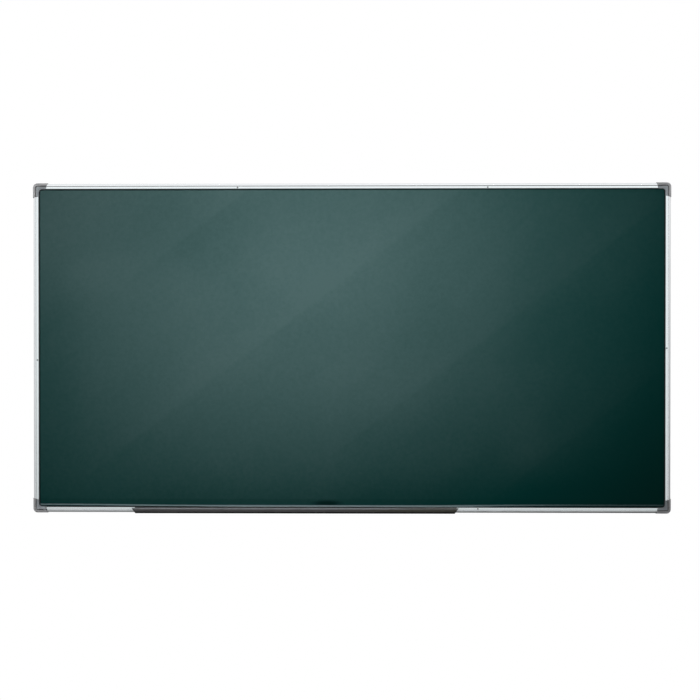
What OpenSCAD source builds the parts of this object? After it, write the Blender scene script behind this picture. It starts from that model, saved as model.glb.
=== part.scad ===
// Wall-hung magnetic chalkboard. A steel-faced panel sits in a frame of four extruded
// aluminium rails, which plug into moulded corner caps. A chalk tray hooks into the slot
// of the bottom rail and slides along it. Four keyhole hangers carry the board on a wall.
//
// Sizes are in millimetres. X runs along the board, Z is up, and the writing face looks
// along -Y. The origin is the middle of the four wall-screw places, on the wall itself.

/* [Frame] */
// Width over the rails
frame_w = 1966; // [1800:1:2400]
// Height over the rails
frame_h = 1016; // [800:1:1250]
// Width of a rail's flat front face
rail_face = 16; // [15.5:0.5:19]
// How far the frame stands in front of the writing face
frame_proud = 4.8; // [4.6:0.1:6]
// Wall thickness of the rail extrusion
rail_wall = 1.4; // [1.2:0.1:1.5]
// Radius of a rail's outer front edge
edge_r = 6; // [5:0.5:6.5]
// How far the sloping inner lip reaches past the face
lip_w = 3; // [2.5:0.5:5]

/* [Panel] */
// Thickness of the lacquered steel writing sheet
sheet_t = 0.5; // [0.3:0.1:0.8]
// Thickness of the core board
core_t = 12; // [9:0.5:18]
// Thickness of the galvanised backing sheet
backing_t = 0.3; // [0.2:0.1:0.6]

/* [Corner caps] */
// Length of a cap's leg along its outer edge
cap_leg = 45; // [40:1:60]
// How much shorter a leg is at the panel than at its outer edge
cap_rake = 5; // [2:0.5:8]
// Thickness of a cap's wall over the rail
cap_t = 1.8; // [1.5:0.1:2.2]
// Radius of a cap's outer corner
cap_r = 14; // [13:0.5:16]
// Radius of a cap's inner corner, at the panel
cap_inner_r = 7; // [4:0.5:8]
// Length of the tongue that plugs into a rail
tongue_l = 34; // [28:1:50]

/* [Chalk tray] */
// Length of the tray over its end caps
tray_l = 1000; // [500:1:1100]
// Place of the tray's middle along the board
tray_x = -171; // [-200:1:200]
// How far the tray stands out from the rail
tray_d = 55; // [45:1:70]
// Height of the tray's bowed front wall
tray_h = 16; // [15:0.5:19]
// Wall thickness of the tray
tray_wall = 1.8; // [1.6:0.1:2]
// How far a tray end leans outward from bottom to top
end_rake = 12; // [10:1:18]

/* [Wall hangers] */
// Distance between the hangers along the board
hanger_span = 1600; // [1200:10:1700]
// Distance of a keyhole's round end from the frame's outer edge
keyhole_in = 36; // [34:1:40]
// Gap between the rails and the wall
stand_off = 5; // [4.5:0.5:8]
// Thickness of the hanger plate
hanger_t = 1.5; // [1:0.1:2]
// Radius of the keyhole's round end
keyhole_r = 4.8; // [4.5:0.1:5.2]
// Half the width of the keyhole's slot
keyhole_slot_r = 2.3; // [2:0.1:2.5]

/* [Hidden] */
$fn = 64;

// Colours
aluminium = "#d5d8da";
cap_grey = "#85878a";
board_green = "#223c3a";
fibre_brown = "#a58a63";
galvanised = "#b4b9bb";
zinc = "#9ea2a4";
tray_grey = "#46474a";

// Sides of the frame, as turns from the bottom side
bottom_side = 0;
right_side = 90;
top_side = 180;
left_side = 270;

// Rail section: "in" runs from the outer edge towards the panel, "up" from back to front
panel_t = sheet_t + core_t + backing_t;
face_up = rail_wall + panel_t;
rail_d = face_up + frame_proud;
edge_margin = 0.3;
web_in = edge_r + edge_margin;
web_t = 1;
slot_in = web_in + web_t;
slot_w = 1.8;
flange_t = 1.5;
slot_floor_t = 1;
slot_edge = 1.2;
slot_end_in = rail_face - slot_edge;
edge_chamfer = 0.5;
lip_in = rail_face + lip_w;
panel_gap = 0.6;
panel_in = slot_in + panel_gap;
panel_w = frame_w - 2 * panel_in;
panel_h = frame_h - 2 * panel_in;

// Corner caps
rail_stop = 24;
cap_lip = 1;
cap_pivot = cap_r - cap_t;
cap_groove_w = 2.4;
cap_groove_floor = 0.6;
cap_groove_depth = cap_t - cap_groove_floor;
slip = 0.1;
tongue_top = rail_d - edge_r - 2 * slip;

// Screws
screw_r = 1.5;
screw_head_r = 2.6;
pan_head_r = 2.9;
recess_w = 0.7;
recess_l = 2.8;
recess_depth = 0.7;
screw_margin = 0.3;
rail_screw_in = rail_face - edge_chamfer - screw_head_r - screw_margin;
rail_screw_l = 14;
corner_screw_l = 10;
corner_screw_at = 34;
chamber_mid = (rail_wall + web_in) / 2;
hanger_screw_l = 8;

// Screws stand where they were drilled by hand, so their places are not even
top_screws = [-350, 421];
bottom_screws = [-382, 391];
left_screws = [-37];
right_screws = [0];

// Tray section, measured from the frame's bottom edge and the rails' back
tray_play = 0.3;
tray_back = rail_d + tray_play;
tray_floor = 2.8;
tray_top = tray_floor + tray_h;
tray_front = tray_back + tray_d;
tray_plate_low = 0.5;
bow_r = 12.5;
bow_in = tray_floor + tray_h / 2;
bow_up = tray_front - bow_r;
bead_r = 1.5;
tray_rim = tray_top - bead_r / 2;
hook_t = 1.2;
hook_reach = 3;
end_wall = 2;
plug_l = 10;
plug_root = 2;
plug_t = 1.4;
plug_top = 14;
tray_body_l = tray_l - 2 * (end_rake + end_wall);

// Hangers
hanger_w = 36;
hanger_foot_in = 0.5;
hanger_bend_in = lip_in - hanger_t;
hanger_tail = 14;
hanger_round = 8;
keyhole_rise = 7;
hanger_screw_gap = 22;

// Stands the board up: it is drawn lying on its back, with y up the board and z forward
module upright()
    translate([0, -stand_off, 0])
        rotate([90, 0, 0])
            children();

// Moves a piece drawn for the bottom side to another side of the frame
module on_side(side)
    rotate([0, 0, side])
        translate([0, side == bottom_side || side == top_side ? -frame_h / 2 : -frame_w / 2, 0])
            children();

// Carries a section along x. The section's x becomes y, and its y becomes z
module along_x(length)
    translate([-length / 2, 0, 0])
        rotate([90, 0, 90])
            linear_extrude(length)
                children();

// Moves a corner piece, drawn at the bottom left, to the corner after so many quarter turns
module at_corner(turns)
    translate([(turns == 1 || turns == 2 ? 1 : -1) * frame_w / 2,
               (turns >= 2 ? 1 : -1) * frame_h / 2, 0])
        rotate([0, 0, 90 * turns])
            children();

// Outer shape of a rail, grown on the outside and, by another amount, at the lip
module rail_outline(grow = 0, grow_lip = 0) {
    translate([-grow, -grow])
        square([edge_r + grow, rail_d - edge_r + grow]);
    translate([edge_r, rail_d - edge_r])
        circle(edge_r + grow);
    polygon([
        [edge_r, -grow],
        [lip_in + grow_lip, -grow],
        [lip_in + grow_lip, face_up],
        [rail_face + grow_lip, rail_d + grow - edge_chamfer],
        [rail_face + grow_lip - edge_chamfer, rail_d + grow],
        [edge_r, rail_d + grow]
    ]);
}

// Hollow that takes the corner caps' tongues
module rail_chamber() {
    inner_r = edge_r - rail_wall;
    translate([rail_wall, rail_wall])
        square([web_in - rail_wall, rail_d - edge_r - rail_wall]);
    translate([edge_r, rail_wall])
        square([web_in - edge_r, rail_d - 2 * rail_wall]);
    intersection() {
        translate([edge_r, rail_d - edge_r])
            circle(inner_r);
        translate([rail_wall, rail_wall])
            square([web_in - rail_wall, rail_d - 2 * rail_wall]);
    }
}

// Slot along the front face, wider inside, that accessories hook into
module rail_slot() {
    floor_up = face_up + slot_floor_t;
    roof_up = rail_d - flange_t;
    translate([slot_in, floor_up])
        square([slot_w, rail_d]);
    polygon([
        [slot_in, floor_up],
        [slot_end_in + roof_up - floor_up, floor_up],
        [slot_end_in, roof_up],
        [slot_in, roof_up]
    ]);
}

module rail_section()
    difference() {
        rail_outline();
        rail_chamber();
        rail_slot();
        translate([slot_in, rail_wall])
            square([lip_in, panel_t]);
    }

// Countersunk holes for the screws that pin a rail to the panel
module rail_screw_holes(places)
    for (x = places)
        translate([x, rail_screw_in, rail_d])
            rotate([180, 0, 0])
                countersunk_hole(screw_r + slip, rail_d - face_up + 1);

module countersunk_hole(r, depth) {
    sink = screw_head_r - screw_r;
    translate([0, 0, -1])
        cylinder(h = depth + 1, r = r);
    translate([0, 0, -0.01])
        cylinder(h = sink, r1 = screw_head_r + slip, r2 = screw_r + slip);
}

// A rail with its screw holes, the hanger-screw holes and the corner-screw holes.
// The places are along the rail, from its middle
module rail(side, length, screws, hanger_screws = [])
    color(aluminium)
        upright()
            on_side(side)
                difference() {
                    along_x(length - 2 * rail_stop)
                        rail_section();
                    rail_screw_holes(screws);
                    for (x = hanger_screws, out = [-1, 1])
                        translate([x + out * hanger_screw_gap / 2, chamber_mid, -1])
                            cylinder(h = rail_wall + 2, r = screw_r);
                    for (end = [-1, 1])
                        translate([end * (length / 2 - corner_screw_at), chamber_mid, -1])
                            cylinder(h = rail_wall + 2, r = screw_r);
                }

module top_rail()
    rail(top_side, frame_w, -top_screws, [-hanger_span / 2, hanger_span / 2]);

module bottom_rail()
    rail(bottom_side, frame_w, bottom_screws, [-hanger_span / 2, hanger_span / 2]);

module left_rail()
    rail(left_side, frame_h, -left_screws);

module right_rail()
    rail(right_side, frame_h, right_screws);

// Outer shape of a cap, with the groove that carries on the rails' slot
module cap_outline()
    difference() {
        rail_outline(cap_t, cap_lip);
        translate([slot_in + (slot_w - cap_groove_w) / 2, rail_d + cap_t - cap_groove_depth])
            square([cap_groove_w, cap_groove_depth + 1]);
    }

// One leg of a cap, along x, cut back towards the panel at its end
module cap_leg_form() {
    reach = cap_leg - cap_t;
    inner_edge = lip_in + cap_lip;
    intersection() {
        translate([reach / 2 + cap_pivot / 2, 0, 0])
            along_x(reach - cap_pivot)
                cap_outline();
        translate([0, 0, -cap_t - 1])
            linear_extrude(rail_d + 2 * cap_t + 2)
                polygon([
                    [cap_pivot - 1, -cap_t - 1],
                    [reach, -cap_t - 1],
                    [reach, -cap_t],
                    [reach - cap_rake, inner_edge],
                    [reach - cap_rake, inner_edge + 1],
                    [cap_pivot - 1, inner_edge + 1]
                ]);
    }
}

// Outer corner of a cap: the part of its outline outside the pivot, swept a quarter turn
module cap_corner_form()
    translate([cap_pivot, cap_pivot, 0])
        rotate([0, 0, 180])
            rotate_extrude(angle = 90)
                intersection() {
                    translate([cap_pivot, 0])
                        mirror([1, 0])
                            cap_outline();
                    translate([0, -cap_t - 1])
                        square([cap_r + 1, rail_d + 2 * cap_t + 2]);
                }

// Rounds the inner corner where the two sloping lips meet
module cap_inner_fillet() {
    slope_in = rail_face + cap_lip;
    rise = rail_d + cap_t - edge_chamfer - face_up;
    centre = lip_in + cap_lip + cap_inner_r;
    difference() {
        translate([slope_in, slope_in, face_up])
            cube([centre - slope_in, centre - slope_in, rise]);
        translate([centre, centre, face_up])
            cylinder(h = rise, r1 = cap_inner_r, r2 = centre - slope_in);
    }
}

// The room that a rail's end and the panel's corner take in a cap
module cap_pockets() {
    for (flip = [0, 1])
        mirror([flip, -flip, 0])
            translate([rail_stop + frame_w / 4, 0, 0])
                along_x(frame_w / 2)
                    rail_outline(slip, slip);
    translate([panel_in - panel_gap / 2, panel_in - panel_gap / 2, rail_wall])
        cube([cap_leg * 2, cap_leg * 2, panel_t]);
}

// Tongue that plugs into the rail along x
module cap_tongue()
    translate([rail_stop - 1, rail_wall + slip, rail_wall + slip])
        cube([tongue_l + 1, web_in - rail_wall - 2 * slip, tongue_top - rail_wall - slip]);

module cap_screw_hole()
    translate([corner_screw_at, chamber_mid, -cap_t - 1])
        cylinder(h = corner_screw_l + 1, r = screw_r);

module corner_cap(turns)
    color(cap_grey)
        upright()
            at_corner(turns)
                difference() {
                    union() {
                        difference() {
                            union() {
                                cap_leg_form();
                                mirror([1, -1, 0])
                                    cap_leg_form();
                                cap_corner_form();
                                cap_inner_fillet();
                            }
                            cap_pockets();
                        }
                        cap_tongue();
                        mirror([1, -1, 0])
                            cap_tongue();
                    }
                    cap_screw_hole();
                    mirror([1, -1, 0])
                        cap_screw_hole();
                }

module corner_cap_bottom_left() corner_cap(0);

module corner_cap_bottom_right() corner_cap(1);

module corner_cap_top_right() corner_cap(2);

module corner_cap_top_left() corner_cap(3);

// A sheet of the panel, drilled where the rail screws pass
module panel_layer(up, thickness, hole_r)
    upright()
        difference() {
            translate([-panel_w / 2, -panel_h / 2, up])
                cube([panel_w, panel_h, thickness]);
            at_rail_screws()
                translate([0, 0, -rail_screw_l])
                    cylinder(h = rail_screw_l, r = hole_r);
        }

module writing_sheet()
    color(board_green)
        panel_layer(rail_wall + backing_t + core_t, sheet_t, screw_r + slip);

module core_board()
    color(fibre_brown)
        panel_layer(rail_wall + backing_t, core_t, screw_r);

module backing_sheet()
    color(galvanised)
        upright()
            translate([-panel_w / 2, -panel_h / 2, rail_wall])
                cube([panel_w, panel_h, backing_t]);

// Places of the rail screws, on the face of the rails
module at_screws_of(side, places)
    on_side(side)
        for (x = places)
            translate([x, rail_screw_in, rail_d])
                children();

module at_rail_screws() {
    at_screws_of(top_side, -top_screws) children();
    at_screws_of(bottom_side, bottom_screws) children();
    at_screws_of(left_side, -left_screws) children();
    at_screws_of(right_side, right_screws) children();
}

// Crossed recess for a driver, in a head whose top is at z = 0
module cross_recess()
    for (turn = [0, 90])
        rotate([0, 0, turn])
            translate([-recess_l / 2, -recess_w / 2, -recess_depth])
                cube([recess_l, recess_w, recess_depth + 1]);

// Countersunk self-tapping screw with its head at z = 0, pointing down
module countersunk_screw() {
    sink = screw_head_r - screw_r;
    tip = 2 * screw_r;
    difference() {
        union() {
            translate([0, 0, -sink])
                cylinder(h = sink, r1 = screw_r, r2 = screw_head_r);
            translate([0, 0, tip - rail_screw_l])
                cylinder(h = rail_screw_l - tip - sink, r = screw_r);
            translate([0, 0, -rail_screw_l])
                cylinder(h = tip, r1 = 0.2, r2 = screw_r);
        }
        cross_recess();
    }
}

// Pan-head screw whose head rests on z = 0, pointing up
module pan_screw(length) {
    rim = 1.2;
    crown = 0.7;
    difference() {
        union() {
            cylinder(h = length, r = screw_r);
            translate([0, 0, -rim])
                cylinder(h = rim, r = pan_head_r);
            translate([0, 0, -rim - crown])
                cylinder(h = crown, r1 = pan_head_r - crown, r2 = pan_head_r);
        }
        translate([0, 0, -rim - crown])
            rotate([180, 0, 0])
                cross_recess();
    }
}

module rail_screws(side, places)
    color(zinc)
        upright()
            at_screws_of(side, places)
                countersunk_screw();

module top_rail_screws() rail_screws(top_side, -top_screws);

module bottom_rail_screws() rail_screws(bottom_side, bottom_screws);

module left_rail_screw() rail_screws(left_side, -left_screws);

module right_rail_screw() rail_screws(right_side, right_screws);

// Two screws at each corner, through the cap's back and the rail into the tongue
module corner_screws()
    color(zinc)
        upright()
            for (turns = [0:3], flip = [0, 1])
                at_corner(turns)
                    mirror([flip, -flip, 0])
                        translate([corner_screw_at, chamber_mid, -cap_t])
                            pan_screw(corner_screw_l);

// Keyhole whose slot runs towards +y from its round end
module keyhole() {
    cylinder(h = hanger_t + 2, r = keyhole_r);
    translate([-keyhole_slot_r, 0, 0])
        cube([2 * keyhole_slot_r, keyhole_rise, hanger_t + 2]);
    translate([0, keyhole_rise, 0])
        cylinder(h = hanger_t + 2, r = keyhole_slot_r);
}

// Outline of the hanger's raised plate: a strip with rounded corners at its free end
module hanger_plate_outline() {
    end_in = keyhole_in + hanger_tail;
    translate([-hanger_w / 2, hanger_bend_in])
        square([hanger_w, end_in - hanger_round - hanger_bend_in]);
    translate([-hanger_w / 2 + hanger_round, hanger_bend_in])
        square([hanger_w - 2 * hanger_round, end_in - hanger_bend_in]);
    for (out = [-1, 1])
        translate([out * (hanger_w / 2 - hanger_round), end_in - hanger_round])
            circle(hanger_round);
}

// Offset keyhole hanger for the bottom side. Its foot lies on the rail's back, its raised
// plate touches the wall, and slot_turn points the slot up the wall
module hanger_form(slot_turn)
    difference() {
        union() {
            translate([-hanger_w / 2, hanger_foot_in, -hanger_t])
                cube([hanger_w, hanger_bend_in + hanger_t - hanger_foot_in, hanger_t]);
            translate([-hanger_w / 2, hanger_bend_in, -stand_off])
                cube([hanger_w, hanger_t, stand_off]);
            translate([0, 0, -stand_off])
                linear_extrude(hanger_t)
                    hanger_plate_outline();
        }
        translate([0, keyhole_in, -stand_off - 1])
            rotate([0, 0, slot_turn])
                keyhole();
        for (out = [-1, 1])
            translate([out * hanger_screw_gap / 2, chamber_mid, -hanger_t - 1])
                cylinder(h = hanger_t + 2, r = screw_r + slip);
    }

// The top side is turned round, so its places run the other way and its slots are turned back
module hanger(side, x)
    color(zinc)
        upright()
            on_side(side)
                translate([side == top_side ? -x : x, 0, 0])
                    hanger_form(side == top_side ? 180 : 0);

module hanger_top_left() hanger(top_side, -hanger_span / 2);

module hanger_top_right() hanger(top_side, hanger_span / 2);

module hanger_bottom_left() hanger(bottom_side, -hanger_span / 2);

module hanger_bottom_right() hanger(bottom_side, hanger_span / 2);

module hanger_screws()
    color(zinc)
        upright()
            for (side = [top_side, bottom_side], x = [-1, 1], out = [-1, 1])
                on_side(side)
                    translate([x * hanger_span / 2 + out * hanger_screw_gap / 2, chamber_mid, -hanger_t])
                        pan_screw(hanger_screw_l);

// Filled shape of the tray as seen from its end: back plate, floor and bowed front wall
module tray_outline() {
    plate_r = tray_wall / 2;
    translate([tray_plate_low, tray_back])
        square([rail_face - plate_r - tray_plate_low, tray_wall]);
    translate([rail_face - plate_r, tray_back + plate_r])
        circle(plate_r);
    polygon([
        [tray_floor, tray_back],
        [rail_face - plate_r, tray_back],
        [rail_face - plate_r, tray_back + tray_wall],
        [tray_rim, bow_up],
        [tray_floor, bow_up]
    ]);
    intersection() {
        translate([bow_in, bow_up])
            circle(bow_r);
        translate([tray_floor, bow_up])
            square([tray_rim - tray_floor, bow_r]);
    }
}

// The trough between the tray's walls, open at the top, drawn in by inset
module trough_outline(inset = 0) {
    low = tray_floor + tray_wall + inset;
    back = tray_back + tray_wall + inset;
    translate([low, back])
        square([tray_h * 2, bow_up - back]);
    intersection() {
        translate([bow_in, bow_up])
            circle(bow_r - tray_wall - inset);
        translate([low, bow_up])
            square([tray_h * 2, bow_r]);
    }
}

// Rounded bead along the top of the front wall
module tray_bead() {
    bead_up = bow_up + sqrt(pow(bow_r - tray_wall / 2, 2) - pow(tray_rim - bow_in, 2));
    translate([tray_rim, bead_up])
        circle(bead_r);
}

// Hook that goes in through the rail's slot and turns up behind its inner edge
module tray_hook() {
    low = slot_in + (slot_w - hook_t) / 2;
    deep = face_up + slot_floor_t + tray_play;
    translate([low, deep])
        square([hook_t, tray_back - deep + 0.1]);
    translate([low, deep])
        square([hook_reach, hook_t]);
}

// Draws the tray about its own middle, then puts it on the bottom rail
module on_tray()
    upright()
        on_side(bottom_side)
            translate([tray_x, 0, 0])
                children();

module tray_channel()
    color(tray_grey)
        on_tray()
            along_x(tray_body_l) {
                difference() {
                    tray_outline();
                    trough_outline();
                }
                tray_bead();
                tray_hook();
            }

// Part of the tray's end on the body's side of a slope that leans out towards the top.
// The slope is moved along the tray by shift
module leaning_end(shift)
    translate([0, 0, tray_back - 1])
        linear_extrude(tray_d + 2)
            polygon([
                [end_rake * 2, tray_plate_low - 1],
                [shift + end_rake / tray_h, tray_floor - 1],
                [shift - end_rake - end_rake / tray_h, tray_top + 1],
                [end_rake * 2, tray_top + 1]
            ]);

// Liner along the trough's walls, held off them by gap
module plug_section(gap)
    difference() {
        intersection() {
            trough_outline(gap);
            translate([0, tray_back])
                square([plug_top, tray_d]);
        }
        trough_outline(slip + plug_t);
    }

// Moulded end for the left of the tray, drawn with the channel's end at x = 0. Its walls
// carry on the channel's, and a liner plugs into the channel
module end_cap_form() {
    span = end_rake + end_wall;
    difference() {
        intersection() {
            translate([-span / 2, 0, 0])
                along_x(span) {
                    tray_outline();
                    tray_bead();
                }
            leaning_end(-end_wall);
        }
        intersection() {
            along_x(4 * span)
                difference() {
                    trough_outline();
                    tray_bead();
                }
            leaning_end(0);
        }
    }
    translate([-plug_root / 2, 0, 0])
        along_x(plug_root)
            plug_section(0);
    translate([(plug_l - plug_root) / 2, 0, 0])
        along_x(plug_l + plug_root)
            plug_section(slip);
}

module tray_end_cap_left()
    color(tray_grey)
        on_tray()
            translate([-tray_body_l / 2, 0, 0])
                end_cap_form();

module tray_end_cap_right()
    color(tray_grey)
        on_tray()
            translate([tray_body_l / 2, 0, 0])
                mirror([1, 0, 0])
                    end_cap_form();

top_rail();
bottom_rail();
left_rail();
right_rail();
corner_cap_bottom_left();
corner_cap_bottom_right();
corner_cap_top_right();
corner_cap_top_left();
writing_sheet();
core_board();
backing_sheet();
top_rail_screws();
bottom_rail_screws();
left_rail_screw();
right_rail_screw();
corner_screws();
hanger_top_left();
hanger_top_right();
hanger_bottom_left();
hanger_bottom_right();
hanger_screws();
tray_channel();
tray_end_cap_left();
tray_end_cap_right();
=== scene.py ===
import math

import bmesh
import bpy
import numpy as np
from mathutils import Matrix, Vector
from mathutils.geometry import tessellate_polygon


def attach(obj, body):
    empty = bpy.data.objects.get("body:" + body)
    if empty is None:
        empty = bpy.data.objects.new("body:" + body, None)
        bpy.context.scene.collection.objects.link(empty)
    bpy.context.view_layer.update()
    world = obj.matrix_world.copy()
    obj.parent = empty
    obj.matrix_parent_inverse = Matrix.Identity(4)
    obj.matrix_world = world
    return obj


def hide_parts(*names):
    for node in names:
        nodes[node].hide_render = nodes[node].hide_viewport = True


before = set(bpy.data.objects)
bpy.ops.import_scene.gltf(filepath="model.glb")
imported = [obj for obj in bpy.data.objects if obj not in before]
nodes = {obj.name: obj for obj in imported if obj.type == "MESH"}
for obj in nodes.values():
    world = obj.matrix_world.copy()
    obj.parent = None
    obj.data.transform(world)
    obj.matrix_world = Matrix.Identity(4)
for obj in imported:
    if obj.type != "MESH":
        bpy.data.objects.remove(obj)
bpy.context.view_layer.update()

scene = bpy.context.scene
mm = 0.001
noiseMiddle = 0.5  # the level that a noise swings about
print("frame loaded with", len(nodes), "nodes")


# A shader socket that can stand in a sum: each operator adds one Math node
class Wire:
    def __init__(self, tree, socket):
        self.tree = tree
        self.socket = socket

    def math(self, operation, first, second):
        node = self.tree.nodes.new("ShaderNodeMath")
        node.operation = operation
        plug(self.tree, node.inputs[0], first)
        plug(self.tree, node.inputs[1], second)
        return Wire(self.tree, node.outputs[0])

    def __add__(self, other):
        return self.math("ADD", self, other)

    def __radd__(self, other):
        return self.math("ADD", other, self)

    def __sub__(self, other):
        return self.math("SUBTRACT", self, other)

    def __rsub__(self, other):
        return self.math("SUBTRACT", other, self)

    def __mul__(self, other):
        return self.math("MULTIPLY", self, other)

    def __rmul__(self, other):
        return self.math("MULTIPLY", other, self)

    def atLeast(self, other):
        return self.math("MAXIMUM", self, other)

    def atMost(self, other):
        return self.math("MINIMUM", self, other)

    def size(self):
        return self.math("ABSOLUTE", self, 0)

    def held(self):  # kept between 0 and 1
        return self.atLeast(0).atMost(1)

    def swing(self, amount):  # how far a noise strays from its middle, times an amount
        return (self - noiseMiddle) * amount


def plug(tree, slot, value):
    if isinstance(value, Wire):
        tree.links.new(value.socket, slot)
    elif slot.type == "RGBA":
        slot.default_value = (*value, 1)
    else:
        slot.default_value = value


# A node tree under construction. Settings are set first, then sockets are filled or linked
class Shading:
    def __init__(self, owner, values=None):
        owner.use_nodes = True
        self.owner = owner
        self.values = values
        self.tree = owner.node_tree
        self.tree.nodes.clear()

    def add(self, kind, settings=None, sockets=None, out=0):
        node = self.tree.nodes.new(kind)
        for key, value in (settings or {}).items():
            setattr(node, key, value)
        for key, value in (sockets or {}).items():
            plug(self.tree, node.inputs[key], value)
        return Wire(self.tree, node.outputs[out]) if node.outputs else None

    # The noise that the finish has under this name, stretched where the finish says so
    def noise(self, vector, name):
        if name + "Stretch" in self.values:
            vector = self.stretch(vector, self.values[name + "Stretch"])
        levels = zip(("Scale", "Detail", "Roughness", "Distortion"), self.values[name])
        return self.add("ShaderNodeTexNoise", None, {"Vector": vector, **dict(levels)})

    # A start and the swings of noises, each by the finish's amount under its name and this ending
    def vary(self, start, ending, **noises):
        for name, noise in noises.items():
            start = start + noise.swing(self.values[name + ending])
        return start

    def vector(self, operation, first, second):
        return self.add("ShaderNodeVectorMath", {"operation": operation}, {0: first, 1: second})

    def stretch(self, vector, factors):
        return self.vector("MULTIPLY", vector, factors)

    def length(self, vector):
        return self.add("ShaderNodeVectorMath", {"operation": "LENGTH"}, {0: vector}, "Value")

    def axis(self, vector, name):
        return self.add("ShaderNodeSeparateXYZ", None, {"Vector": vector}, name)

    def blend(self, share, first, second):
        return self.add("ShaderNodeMix", {"data_type": "RGBA"}, {0: share, 6: first, 7: second}, 2)

    def fade(self, value, full, gone):  # 1 below full, easing to 0 at gone
        return self.add("ShaderNodeMapRange", {"interpolation_type": "SMOOTHSTEP"}, {
            "Value": value, "From Min": full, "From Max": gone, "To Min": 1.0, "To Max": 0.0})

    def reach(self, place, middle, radii):  # 1 on the ellipsoid of these radii
        return self.length(self.vector("DIVIDE", self.vector("SUBTRACT", place, middle), radii))

    def layer(self, name):
        return self.add("ShaderNodeAttribute", {"attribute_name": name}, None, "Fac")

    def openness(self, distance, samples=8):
        return self.add("ShaderNodeAmbientOcclusion", {"samples": samples}, {
            "Distance": distance}, "AO")

    def ray(self, kind):
        return self.add("ShaderNodeLightPath", None, None, "Is " + kind + " Ray")

    # Surface with the finish's bump, and with its gloss and softened edges where it has them
    def surface(self, sockets, relief, samples=6):
        strength, depth = self.values["bump"]
        bump = {"Height": relief, "Strength": strength, "Distance": depth}
        if "edge" in self.values:
            bump["Normal"] = self.add("ShaderNodeBevel", {"samples": samples}, {
                "Radius": self.values["edge"]})
        if "gloss" in self.values:
            sockets["Specular IOR Level"] = self.values["gloss"]
        sockets["Normal"] = self.add("ShaderNodeBump", None, bump)
        shader = self.add("ShaderNodeBsdfPrincipled", None, sockets)
        self.add("ShaderNodeOutputMaterial", None, {"Surface": shader})
        return self.owner


def newFinish(name, values=None):
    shading = Shading(bpy.data.materials.new(name), values)
    return shading, shading.add("ShaderNodeTexCoord", None, None, "Object")


# In the finishes a noise is (scale per metre, detail, roughness, distortion), a Fade is where a
# mask is full and where it is gone, and a bump is (strength, depth)
lacquer = {
    "deepest": (0.0008, 0.0290, 0.0250),
    "deep": (0.0012, 0.0430, 0.0388),
    "hazedAndSheen": (0.0718, 0.1294, 0.1290),  # where chalk has been wiped about, and where a sheen is painted
    "hazeAndSheenMiddle": (-0.30, 0.0, 0.31),
    "hazeAndSheenReach": (0.97, 1.0, 0.75),
    "hazeAndSheenFade": (0.2, 1.6),
    # beyond this the far corners turn to painted shade
    "farShadeFade": (1.2, 1.75),
    "hazeAndSheenShare": 0.85,
    # places with more or less chalk haze and painted sheen than the rest: x, z, half width, half
    # height, and the haze they add
    "hazePatches": (
        (-0.98, 0.50, 0.36, 0.32, 0.26), (-0.56, 0.37, 0.30, 0.16, -0.17),
        (-0.15, 0.24, 0.22, 0.16, 0.13), (0.64, 0.08, 0.22, 0.20, -0.14),
        (-0.93, 0.00, 0.13, 0.30, -0.15), (0.53, -0.28, 0.09, 0.11, 0.10),
        (0.08, -0.09, 0.26, 0.18, 0.07), (0.98, 0.50, 0.25, 0.20, 0.08),
        (0.62, 0.29, 0.20, 0.10, -0.04), (0.20, -0.50, 1.2, 0.14, -0.09),
        (0.92, 0.10, 0.12, 0.16, -0.05)),
    "hazePatchFade": (0.2, 1.3),
    "lean": 37.3,  # degrees by which the bands of painted reflection rise to the right
    # lower edge of each band of painted reflection, measured square to it, and where along it the
    # band starts
    "reflectionBands": ((-0.635, 0.10), (-0.228, -0.22), (0.181, -0.85), (0.582, -0.42)),
    "reflectionStart": 0.18,
    "reflectionEdge": 0.008,
    "reflectionWidth": 0.13,
    "reflectionLevel": 0.12,
    "clouds": (2.3, 5, 0.55, 0.5),
    "cloudHaze": 0.5,
    "streaks": (1.6, 4, 0.6, 0.3),
    "streaksStretch": (1, 1, 7),
    "streakHaze": 0.2,
    "grain": (620.0, 2, 0.6),
    "grainHaze": 0.25,
    "mottle": (85.0, 3, 0.6),
    "mottleHaze": 0.44,
    "specks": (330.0, 3, 0.6),
    "speckFade": (0.62, 0.74),
    "speckHaze": 0.22,
    "marksLeast": 0.25,  # share of the marks left where there is no haze
    "stripFade": (-0.4685, -0.4645),  # the board is darker towards the bottom edge below this
    "stripShare": 0.22,
    "smearMiddle": (-0.074, 0.0, -0.4795),
    "smearReach": (0.052, 1.0, 0.011),
    "smearFade": (0.3, 1.2),
    "smearShare": 0.85,
    # painted shade along the lips of the rails, also the colour of the real smear
    "seamShade": (0.0008, 0.0120, 0.0115),
    "seamAt": (0.9640, 0.4890),  # where the lips of the rails stand on the board
    "seamShadeFade": (0.0, 0.0028),
    "dust": (0.24, 0.33, 0.35),
    "dustHeight": -0.4842,  # middle of the chalk line along the bottom edge
    "dustSpread": 0.0030,
    "dustSag": 0.0034,  # how much lower it lies behind the tray
    "trayMiddle": -0.13,
    "trayFade": (0.30, 0.80),
    "dustLevel": 0.3,
    "dustLeft": 0.5,  # more of it on the left
    "dustLeftFade": (0.25, 0.85),
    "dustBehindTray": 0.25,
    "lodged": (240.0, 5, 0.7),
    "lodgedStretch": (1, 1, 3),
    "dustLodged": 1.1,
    "roughness": 0.52,
    "marksRough": 0.3,
    "dustRough": 0.3,
    "gloss": 0.03,  # specular level, low on a matt lacquer
    "fine": (1500.0, 2, 0.7),
    "grainRelief": 0.6,
    "fineRelief": 0.4,
    "dustRelief": 0.5,
    "bump": (0.16, 0.00025),
}
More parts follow.
